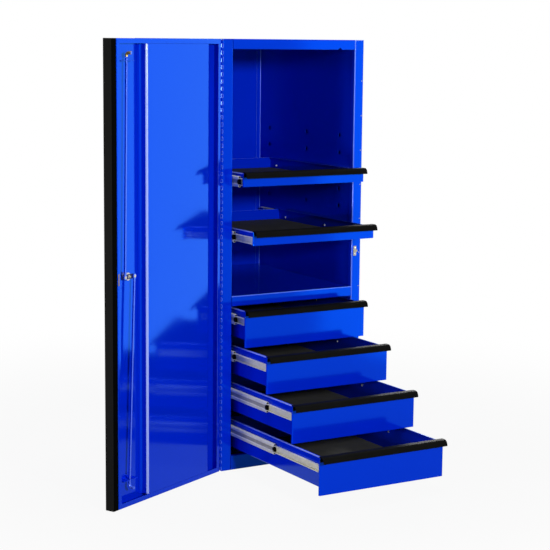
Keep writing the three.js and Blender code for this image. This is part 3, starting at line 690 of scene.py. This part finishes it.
def buildBalls(front, level):
    bm = bmesh.new()
    w = ballWork
    ball = bmesh.new()
    around, along = w["sides"]
    bmesh.ops.create_uvsphere(ball, u_segments=around, v_segments=along, radius=w["radius"])
    end = w["start"] + (w["balls"] - 0.5) * w["pitch"]
    wide, thick = w["cageHalf"]
    cage = makeBlock((-wide, w["start"] - w["cageLead"], -thick), (wide, end, thick), w["cageEdge"], 1)
    for k in range(w["balls"]):
        stamp(cage, ball, Matrix.Translation((0, w["start"] + k * w["pitch"], 0)))
    for side in (-1, 1):
        for lift in (-w["lift"], w["lift"]):
            stamp(bm, cage, Matrix.Translation((side * w["across"], front, level + lift)))
    shadeRound(bm, w["shade"])
    return bm


# painted shadow at the front end of each middle member: dark blocks stand in for the shade in its notch and
# its hollows, a cap given by its span from side to side and its rise above the member's middle
shadeBlockWork = {"notch": 0.0074, "sides": 24, "cut": 0.0004, "across": (0.2080, 0.2089),
            "capDepth": (0.0004, 0.0044), "capEdge": 0.0003,
            "shadeCaps": (((0.1996, 0.2068), (-0.0074, 0.0074)), ((0.2020, 0.2068), (0.0103, 0.0140)),
                     ((0.2020, 0.2068), (-0.0140, -0.0103)))}


def buildShadeBlocks(front, level):
    bm = bmesh.new()
    w = shadeBlockWork
    # the half disc in the notch is a dark block standing in for shade
    stop = makeHead(w["notch"], w["across"][1] - w["across"][0], w["sides"])
    bmesh.ops.bisect_plane(stop, geom=stop.verts[:] + stop.edges[:] + stop.faces[:], clear_outer=True,
                           plane_co=(0, w["cut"], 0), plane_no=(0, -1, 0))
    bmesh.ops.holes_fill(stop, edges=stop.edges)
    turn = Matrix.Rotation(math.radians(90), 4, "Y")
    near, far = (front + depth for depth in w["capDepth"])
    for side in (-1, 1):
        inner = min(side * across for across in w["across"])
        stamp(bm, stop, Matrix.Translation((inner, front, level)) @ turn)
        for span, rise in w["shadeCaps"]:
            left, right = sorted(side * across for across in span)
            stamp(bm, makeBlock((left, near, level + rise[0]), (right, far, level + rise[1]), w["capEdge"]))
    return bm


for unit in units:
    low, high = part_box(unit + "_slide_left")
    level = (low.z + high.z) / 2
    addPiece(unit + "ShadeBlocks", buildShadeBlocks(low.y, level), unit + "_slides", "blackTrim")
    addPiece(unit + "Screws", buildScrews(unit, level), unit, "zincPart")
    addPiece(unit + "Balls", buildBalls(low.y, level), unit + "_slides", "zincPart")
print("slide fittings added")


# locking rod tips: sleeves bent with the hooks, the upper one plated, the lower one in the soft painted
# highlight as a painted bluish reflection
tipWork = {"radius": 0.0042, "sides": 14, "down": 0.003, "bend": 0.007, "steps": 7, "out": 0.0085,
           "depth": -0.007, "upper": (0.430, 1.231), "lower": (0.425, 0.0534)}


def buildTip(across, level, way):
    bm = bmesh.new()
    w = tipWork
    bmesh.ops.create_circle(bm, cap_ends=True, segments=w["sides"], radius=w["radius"])
    disc = bm.faces[:]
    bmesh.ops.translate(bm, vec=(0, 0, -w["down"] - w["bend"]), verts=bm.verts)
    grown = bmesh.ops.extrude_face_region(bm, geom=disc)["geom"]
    bmesh.ops.translate(bm, vec=(0, 0, w["down"]), verts=onlyKind(grown, bmesh.types.BMVert))
    spun = bmesh.ops.spin(bm, geom=onlyKind(grown, bmesh.types.BMFace), cent=(0, w["bend"], -w["bend"]),
                          axis=(1, 0, 0), dvec=(0, 0, 0), angle=-math.pi / 2, steps=w["steps"],
                          use_duplicate=False)["geom_last"]
    grown = bmesh.ops.extrude_face_region(bm, geom=onlyKind(spun, bmesh.types.BMFace))["geom"]
    bmesh.ops.translate(bm, vec=(0, w["out"], 0), verts=onlyKind(grown, bmesh.types.BMVert))
    bmesh.ops.remove_doubles(bm, verts=bm.verts, dist=samePlace)
    bmesh.ops.scale(bm, vec=(1, 1, way), verts=bm.verts)
    bmesh.ops.recalc_face_normals(bm, faces=bm.faces)
    bmesh.ops.translate(bm, vec=(across, w["depth"], level), verts=bm.verts)
    bmesh.ops.transform(bm, matrix=doorPlace, verts=bm.verts)
    shadeRound(bm)
    return bm


addPiece("upperRodTip", buildTip(*tipWork["upper"], 1), "upper_rod", "yellowZinc")
addPiece("lowerRodTip", buildTip(*tipWork["lower"], -1), "lower_rod", "softBend")


# lock fittings: nut and washer on the cam's post
lockWork = {"camFace": -0.009,
            "washer": {"radius": 0.0048, "height": 0.0006, "sides": 18, "edge": 0.0003},
            "nut": {"radius": 0.0036, "height": 0.0030, "sides": 6, "edge": 0.0006},
            "post": {"radius": 0.0020, "height": 0.0046, "sides": 14, "edge": 0.0006}}


def buildLockNut():
    bm = bmesh.new()
    stamp(bm, makeHead(**lockWork["washer"]))
    for label in ("nut", "post"):
        stamp(bm, makeHead(**lockWork[label]), Matrix.Translation((0, 0, lockWork["washer"]["height"])))
    place = doorPlace.inverted() @ Vector(joints["lock_turn"]["pos_m"])
    place.y = lockWork["camFace"]
    bmesh.ops.transform(bm, matrix=doorPlace @ standOn(place, (0, 1, 0)), verts=bm.verts)
    shadeRound(bm)
    return bm


addPiece("lockNut", buildLockNut(), "lock", "slideWeb")


def addHeads(name, head, places, outward, finish):
    # one head, stamped at several places on the cabinet
    bm = bmesh.new()
    part = makeHead(**head)
    for place in places:
        stamp(bm, part, standOn(place, outward))
    shadeRound(bm)
    addPiece(name, bm, "cabinet", finish)


# screws at both ends of the door catch
catchWork = {"fromEdge": 0.005, "fromEnd": 0.006,
             "screw": {"radius": 0.0036, "height": 0.0016, "sides": 16, "edge": 0.0008, "recess": 0.0012}}
low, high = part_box("door_catch")
catchPlaces = [(low.x + catchWork["fromEdge"], low.y, level)
               for level in (low.z + catchWork["fromEnd"], high.z - catchWork["fromEnd"])]
addHeads("catchScrews", catchWork["screw"], catchPlaces, (0, -1, 0), "zincPart")


# the row of plugged holes beside the right stile's edge
plugWork = {"fromEdge": 0.0063, "top": 1.148, "pitch": 0.104, "plugs": 11,
            "plug": {"radius": 0.0017, "height": 0.0005, "sides": 12, "edge": 0.0002}}
low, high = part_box("right_side_shell")
plugPlaces = [(high.x - plugWork["fromEdge"], low.y, plugWork["top"] - k * plugWork["pitch"])
              for k in range(plugWork["plugs"])]
addHeads("stilePlugs", plugWork["plug"], plugPlaces, (0, -1, 0), "slideWeb")


# back panel screws: whole rows at the top and bottom, pairs at the sides between them
backWork = {"across": (-0.19, -0.063, 0.063, 0.19), "levels": (0.06, 0.345, 0.635, 0.925, 1.21),
            "screw": {"radius": 0.0048, "height": 0.0024, "sides": 14, "edge": 0.001, "recess": 0.0016}}
low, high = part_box("back_panel")
sides = (backWork["across"][0], backWork["across"][-1])
rows = (backWork["levels"][0], backWork["levels"][-1])
backPlaces = [(across, high.y, level) for level in backWork["levels"]
              for across in backWork["across"] if level in rows or across in sides]
addHeads("backScrews", backWork["screw"], backPlaces, (0, 1, 0), "zincPart")
print("fasteners set")


# the side panel mirrors only in these painted pieces, so the zinc stays neutral
panelSees = ["door_pan", "door_inner_panel", "upper_rod", "lower_rod", "upper_rod_guide", "lower_rod_guide",
             "right_side_shell", "left_side_shell", "top_pan", "divider_shelf"]
panelSees += [unit + "_front" for unit in units]
panelGroup = bpy.data.collections.new("panelSees")
for node in panelSees:
    panelGroup.objects.link(bpy.data.objects[node + "_finished"])
bpy.data.objects["sidePanel"].light_linking.receiver_collection = panelGroup
